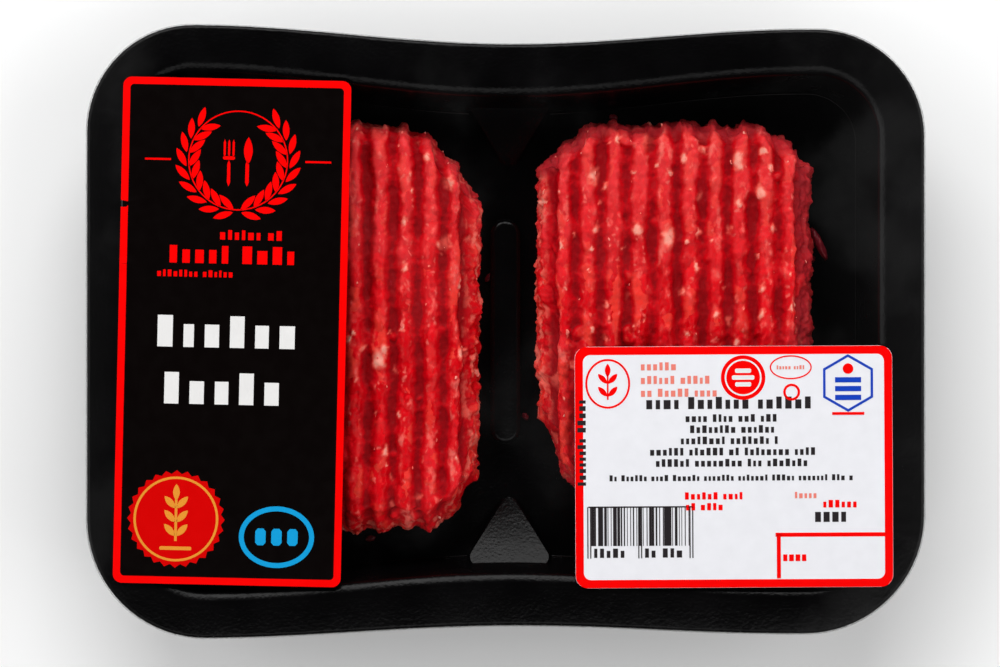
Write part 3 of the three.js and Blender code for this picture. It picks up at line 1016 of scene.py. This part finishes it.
def flap(side):
    """One end's flap: broad at the foot of the wall and narrower inwards."""
    foot = PACK_LENGTH / 2 - OUTER_FOOT - 3

    def place(s, t):
        across = 2 * t - 1
        half = 50 - 22 * s
        pleat = 0.07 * math.sin(across * 34 + 3 * s) * s + 0.03 * math.sin(across * 71)
        return side * (foot - FLAP_LENGTH * s), side * half * across, 0.16 + pleat * 0.8

    return sheet_grid(*FLAP_STEPS, place)


def overlap():
    """The strip where the long edges lie on each other."""
    def place(s, t):
        wave = 0.02 * math.sin(t * 60) + 0.02 * math.sin(s * 9)
        return (t - 0.5) * OVERLAP[0], (s - 0.5) * OVERLAP[1] + 0.8 * math.sin(t * 11), 0.3 + wave

    return sheet_grid(12, 110, place)


folds = mesh_object("film_folds", *gathered([flap(1), flap(-1), overlap()]), film)
belongs(thicken(folds, FOLD), "film")

# %% [markdown]
# ## The labels
# Both labels are thin coated paper on the film. Each is a fine grid in the label's outline, a
# little wavy and with a crease or two, and it is thickened to real paper. What is printed on them
# is greeked: rows of letter-sized blocks stand for lines of text, and simple shapes for ornaments.
# Each ink's shapes are one thin plate that follows the paper.


# %% Paper and inks
def paper_finish(name, colour, roughness, shine=0.25, grain=0.4):
    """Coated paper or a printed ink: even colour with a faint mottle and a soft gloss."""
    material, shader, place = finish(name)
    cloud = noise(place, 3.5, detail=3)
    plug(shader, {
        "Base Color": blend(cloud, tuple(0.9 * c for c in colour), colour),
        "Roughness": between(cloud, 0.3, 0.7, roughness, roughness + 0.03),
        "Specular IOR Level": shine,
    })
    relief(shader, noise(place, grain), 0.01)
    return material


INK_GRAIN = 0.25
INKS = {}
for name, colour, roughness, shine in (
    ("red", (0.96, 0.0, 0.0), 0.3, 0.1),
    ("deep_red", (0.66, 0.0, 0.0), 0.3, 0.1),
    ("pale_red", (0.86, 0.22, 0.17), 0.45, 0.25),
    ("white", (0.82, 0.81, 0.80), 0.35, 0.25),
    ("black", (0.012, 0.008, 0.010), 0.5, 0.25),
    ("gold", (0.80, 0.30, 0.03), 0.3, 0.25),
    ("blue", (0.004, 0.34, 0.70), 0.3, 0.25),
    ("navy", (0.004, 0.05, 0.50), 0.35, 0.25),
):
    INKS[name] = paper_finish(f"ink_{name}", colour, roughness, shine, INK_GRAIN)
BLACK_PAPER = paper_finish("black_label_paper", (0.0020, 0.0009, 0.0008), 0.2, shine=0.3)
WHITE_PAPER = paper_finish("white_label_paper", (0.84, 0.84, 0.88), 0.45)

# %% Label sizes
PAPER = 0.12
INK = 0.02
LAYER = 0.03  # how much higher each layer of ink lies than the one under it
PAPER_UNDER = FILM_TOP + 0.05
LABELS = {
    "label_front": {
        "middle": (-68.3, -0.1), "size": (57, 126.5), "radius": 2.2, "turn": -1.25, "border": 1.85,
        "creases": ((-28, 31.5, 9, 1.5), (-28, 16.5, 8, -1)), "paper": BLACK_PAPER,
        "slot": "black_paper",
    },
    "label_weight": {
        "middle": (57, -33.8), "size": (79.3, 60.3), "radius": 3, "turn": 0.3, "border": 2.06,
        "creases": (), "paper": WHITE_PAPER, "slot": "white_paper",
    },
}


def paper_height(label, x, y):
    """How high the paper's top lies at a place on it, in mm above the flat."""
    waves = 0.05 * np.sin(x / 9 + 1) * np.sin(y / 12) + 0.04 * np.sin(x / 23 + y / 17)
    for left, at, length, rise in label["creases"]:
        share = np.clip((x - left) / length, 0, 1)
        across = y - at - rise * share
        waves = waves + 0.16 * np.exp(-((across / 0.7) ** 2)) * (1 - share ** 2)
    return waves + 0.15


def on_paper(label, flat, lift):
    """Points on a label's own plane, turned and moved to where the label lies."""
    x, y = np.asarray(flat, float).T
    z = PAPER_UNDER + PAPER + paper_height(label, x, y) + lift
    return np.stack([*turned(x, y, math.radians(label["turn"]), label["middle"]), z], 1)


# %% Flat patches to print
def block(x, y, width, height, radius=0.0, step=1.0):
    """A rectangle round x, y as a grid, with its corners rounded by shortening its end rows."""
    columns = max(1, math.ceil(width / step))
    rows = max(1 if not radius else 6, math.ceil(height / step))
    points = []
    for j in range(rows + 1):
        v = height * (j / rows - 0.5)
        over = max(0.0, abs(v) - height / 2 + radius)
        half = width / 2 - radius + math.sqrt(max(radius ** 2 - over ** 2, 0))
        points += [(x + half * (2 * i / columns - 1), y + v) for i in range(columns + 1)]
    return points, grid_faces(rows, columns)


PINHOLE = 0.01  # a filled shape is a band that closes to this share of its size


def band(outer, inner):
    """The strip between two closed loops with equal numbers of points."""
    count = len(outer)
    faces = [(i, (i + 1) % count, count + (i + 1) % count, count + i) for i in range(count)]
    return list(outer) + list(inner), faces


def oval(x, y, across, up, count=64, start=0.0):
    """Points round an ellipse, anticlockwise."""
    angle = start + np.arange(count) / count * 2 * math.pi
    return np.stack([x + across * np.cos(angle), y + up * np.sin(angle)], 1).tolist()


def disc(x, y, across, up):
    """A filled ellipse."""
    return band(oval(x, y, across, up), oval(x, y, across * PINHOLE, up * PINHOLE))


def ring(x, y, across, up, stroke):
    """An ellipse drawn with a line of the given width."""
    return band(oval(x, y, across, up), oval(x, y, across - stroke, up - stroke))


def star(x, y, radius, waist, tips):
    """A filled star, or a scalloped disc when it has many tips and a wide waist."""
    loop = [turned(waist if i % 2 else radius, 0, math.pi / 2 + i * math.pi / tips, (x, y))
            for i in range(2 * tips)]
    return band(loop, [(x + (a - x) * PINHOLE, y + (b - y) * PINHOLE) for a, b in loop])


def frame_loop(width, height, radius, steps=8, straight=60):
    """Points round a rounded rectangle, close enough together to follow the paper."""
    arcs = []
    for k, (sx, sy) in enumerate(((1, 1), (-1, 1), (-1, -1), (1, -1))):
        middle = sx * (width / 2 - radius), sy * (height / 2 - radius)
        turns = [(k + s / steps) * math.pi / 2 for s in range(steps + 1)]
        arcs.append([turned(radius, 0, turn, middle) for turn in turns])
    loop = []
    for arc, after in zip(arcs, arcs[1:] + arcs[:1]):
        x, y = arc[-1]
        run, climb = (after[0][0] - x) / straight, (after[0][1] - y) / straight
        loop += arc + [(x + run * s, y + climb * s) for s in range(1, straight)]
    return loop


def words(x, y, width, height, seed, gap=0.3):
    """A line of text greeked as runs of letter-sized blocks of two heights, centred on x."""
    draw = np.random.default_rng(seed)
    at, end = x - width / 2, x + width / 2
    blocks = []
    while at < end - height:
        for _ in range(draw.integers(2, 9)):
            wide = height * draw.uniform(0.34, 0.58)
            tall = height * (1.0 if draw.random() < 0.4 else 0.76)
            if at + wide > end:
                break
            blocks.append(block(at + wide / 2, y + (tall - height) / 2, wide, tall))
            at += wide + height * gap
        at += height * 0.5
    return blocks


def upward(patches, x, y):
    """Patches turned a quarter to read upwards, with their origin moved to x, y."""
    return [([(x - v, y + u) for u, v in points], faces) for points, faces in patches]


def lines(*rows):
    """Several lines of words."""
    return [letter for row in rows for letter in words(*row)]


def stamp(name, what, ink, patches, layer=1):
    """Prints all patches of one ink as one thin plate on a label."""
    label = LABELS[name]
    flat, faces = gathered(patches)
    lifted = on_paper(label, flat, LAYER * layer)
    made = mesh_object(f"{name}_{what}", lifted, faces, INKS[ink], smooth=False)
    belongs(thicken(made, INK), label["slot"])


# %% The paper of both labels
for name, label in LABELS.items():
    patch, faces = block(0, 0, *label["size"], radius=label["radius"], step=0.7)
    made = mesh_object(f"{name}_paper", on_paper(label, patch, 0), faces, label["paper"])
    belongs(thicken(made, PAPER), label["slot"], name)

# %% Red borders
for name, label in LABELS.items():
    (width, height), radius, stroke = label["size"], label["radius"], 2 * label["border"]
    outer = frame_loop(width - 0.1, height - 0.1, radius)
    inner = frame_loop(width - stroke, height - stroke, max(radius - 1.2, 0.9))
    stamp(name, "border", "red", [band(outer, inner)])

# %% [markdown]
# ## What is printed on the black label
# The real label carries names and marks, which are left out. A leafy wreath fills the place of
# the ornament. Small blocks stand for the lesser words and larger ones for the wide title.
# A rosette and an oval ring keep the other marks' colours.


# %% Wreath
def leaf(x, y, angle, long, wide, count=10):
    """A pointed leaf as two curves that meet at both tips."""
    left, right = [], []
    for i in range(count + 1):
        s = i / count
        half = wide / 2 * math.sin(math.pi * s) ** 0.8
        for side, row in ((1, left), (-1, right)):
            row.append(turned((s - 0.5) * long, side * half, angle, (x, y)))
    faces = [(i, count + 1 + i, count + 2 + i, i + 1) for i in range(count)]
    return left + right, faces


def wreath(x, y, radius, leaves, long, wide):
    """Pairs of leaves that climb both sides of a ring, open at the top."""
    patches = [ring(x, y, radius, radius, wide * 0.2)]
    for i in range(leaves):
        for side in (-1, 1):
            turn = -math.pi / 2 + side * (0.25 + i / leaves * 2.45)
            for lean, away in ((0.55, 1.0), (-0.55, -1.0)):
                foot = turned(radius + away * long * 0.32, 0, turn, (x, y))
                patches.append(leaf(*foot, turn + side * (math.pi / 2 - lean), long, wide))
    return patches


def sprig(x, y, tall, pairs):
    """A stem with pairs of leaves and one at its tip."""
    patches = [block(x, y - tall * 0.1, tall * 0.05, tall * 0.8)]
    long = tall / (pairs + 1) * 1.25
    for i in range(pairs):
        for side in (-1, 1):
            foot = y - tall * 0.42 + i * tall * 0.8 / pairs
            angle = math.pi / 2 - side * 0.75
            patches.append(leaf(x + side * long * 0.38, foot + long * 0.42, angle, long, long * 0.4))
    patches.append(leaf(x, y + tall / 2 - long * 0.2, math.pi / 2, long, long * 0.42))
    return patches


patches = wreath(0.6, 42.8, 12.5, 9, 5.2, 1.7)
patches += [block(0.6 + 20 * side, 42.8, 6.5, 0.5) for side in (-1, 1)]
patches += [block(-1.7, 39.6, 0.8, 6.4, radius=0.35), block(-1.7, 43.4, 3.0, 0.9, radius=0.4)]
patches += [block(-1.7 + 1.1 * k, 45.8, 0.55, 4.4, radius=0.25) for k in (-1, 0, 1)]
patches += [block(2.9, 39.6, 0.9, 6.4, radius=0.4), leaf(3.1, 45.3, math.pi / 2, 6.8, 2.2)]
stamp("label_front", "wreath", "red", patches)

# %% Words, rosette and ring
patches = lines((4.5, 24.2, 16, 2.4, 5), (1, 19.2, 34, 4.4, 6), (-9.5, 14.4, 19, 1.7, 7))
stamp("label_front", "red_words", "red", patches)
patches = []
TITLE = ((-1.2, -18.6, (3.8, 2.6, 3.6, 3.6, 3.4, 3.8)), (-15.4, -16.6, (3.6, 3.6, 3.4, 3.6, 3.6)))
for y, left, widths in TITLE:
    for k, wide in enumerate(widths):
        tall = 7.9 if k in (0, 3) else 5.7
        patches.append(block(left + wide / 2, y + tall / 2 - 2.8, wide, tall))
        left += wide + 2.7
stamp("label_front", "title", "white", patches)
stamp("label_front", "rosette", "deep_red", [star(-13, -47, 12.2, 11.3, 28)])
patches = [ring(-13, -47, 10.6, 10.6, 0.6), block(-13, -54.3, 8, 0.9, radius=0.3)]
stamp("label_front", "gilding", "gold", patches + sprig(-13, -46, 13, 3), layer=2)
patches = [ring(12.2, -51, 9.4, 7.7, 1.25)]
patches += [block(12.2 + x, -51, 2.6, 4.2, radius=0.6) for x in (-4, 0, 4)]
stamp("label_front", "oval", "blue", patches)

# %% [markdown]
# ## What is printed on the white label
# A shop scale prints such a label: a heading, some centred lines, a bar code and a boxed price
# corner. All of it is blocks. The bar code's widths and gaps come from a seeded draw, so it
# encodes nothing.

# %% Black print
patches = lines(
    (-0.4, 16.0, 42.8, 3.0, 21), (-0.5, 12.2, 23, 1.9, 222), (-0.4, 9.45, 21, 1.9, 194),
    (-0.4, 6.65, 25.6, 1.9, 166), (-0.3, 3.85, 41.2, 1.9, 138), (-0.3, 1.05, 38.3, 1.9, 110),
    (-0.2, -2.7, 61.7, 1.5, 23), (26.5, -12.2, 12.6, 3.3, 24, 0.2),
)
patches += upward(words(0, 0, 23, 2.1, 26), -38.0, 7)
stamp("label_weight", "black_words", "black", patches, layer=2)

# %% Bar code
bars, given = new_tree("bar_code", {
    "Count": ("Int", 31), "Width": ("Float", 0.0248), "Height": ("Float", 0.0096),
    "Seed": ("Int", 3), "Material": ("Material", None),
})
step = sums("DIVIDE", given["Width"], given["Count"])
inputs = {"Count": given["Count"], "Offset": triple(step, 0, 0)}
line = node(bars, "GeometryNodeMeshLine", inputs)
inputs = {"Size X": 1.0, "Size Y": 1.0, "Vertices X": 2, "Vertices Y": 12}
bar = node(bars, "GeometryNodeMeshGrid", inputs)
module = random_value(bars, 0.0, 1.0, given["Seed"])
wide = times(step, plus(0.2, sums("POWER", module, 3.0)))
aside = times(step, random_value(bars, -0.22, 0.22, plus(given["Seed"], 1)))
row = node(bars, "GeometryNodeInstanceOnPoints", {
    "Points": shifted(line, triple(aside, 0, 0)), "Instance": bar,
    "Scale": triple(wide, given["Height"], 1.0),
})
close_tree(row, given["Material"])

weight = LABELS["label_weight"]
code = mesh_object("label_weight_bar_code", [(0, 0, 0)], [], INKS["black"])
run_tree(code, bars, material=INKS["black"])
flat = np.array([v.co[:2] for v in code.data.vertices]) / MM + (-35.4, -14.8)
for vertex, lifted in zip(code.data.vertices, on_paper(weight, flat, 2 * LAYER)):
    vertex.co = Vector(lifted) * MM
belongs(thicken(code, INK), weight["slot"])
patches = [block(-23.4, -9.9, 26, 0.35)]
for x in (-36.2, -23.5, -10.7):
    patches += [block(x + 0.35 * side, -16.3, 0.28, 12.8) for side in (-1, 1)]
patches += lines((-29.7, -21.4, 10.6, 2.3, 25), (-17, -21.4, 10.6, 2.3, 27))
stamp("label_weight", "code_words", "black", patches, layer=2)

# %% Red and blue print
patches = [ring(-31.4, 20.9, 5.6, 6.2, 0.5)] + sprig(-31.4, 20.9, 8, 2)
patches += [disc(2.4, 22.3, 5.55, 5.55), ring(14.3, 24.8, 5.25, 3.0, 0.35)]
patches += [ring(14.5, 18.6, 2.1, 2.1, 0.6)]
patches += lines((-4.5, -7.2, 15.5, 1.8, 41), (-7.2, -9.9, 9.6, 1.8, 42),
                 (27.4, -9.3, 10.3, 1.9, 44), (15.4, -22.5, 6.4, 2.2, 45, 0.2))
patches += [block(24.0, -17.0, 27.4, 1.0), block(11.1, -22.4, 1.0, 11)]
stamp("label_weight", "red_print", "red", patches, layer=2)
patches = lines(
    (18.1, -7.1, 5.8, 1.6, 43), (14.3, 24.8, 7, 1.0, 46), (-18, 25.2, 10.2, 2.0, 252),
    (-14.5, 21.8, 17.2, 2.0, 218), (-13.6, 18.6, 19, 2.0, 186),
)
stamp("label_weight", "faint_words", "pale_red", patches, layer=2)
patches = [ring(2.4, 22.3, 4.6, 4.6, 0.4)]
patches += [block(2.4, 22.3 + y, wide, 1.1, radius=0.3) for y, wide in ((1.7, 4), (0, 5.6), (-1.7, 4))]
stamp("label_weight", "disc_mark", "white", patches, layer=3)
six = [oval(28.6, 20.8, r, r, count=6, start=math.pi / 2) for r in (7.2, 6.5)]
patches = [band(*six)] + [block(28.6, y, 6.5, 1.3) for y in (21.6, 19.4, 17.2)]
stamp("label_weight", "hexagon", "navy", patches, layer=2)
patches = [disc(28.6, 24.4, 1.3, 1.3), block(28.6, 13.2, 8, 0.7)]
stamp("label_weight", "hexagon_dot", "red", patches, layer=3)
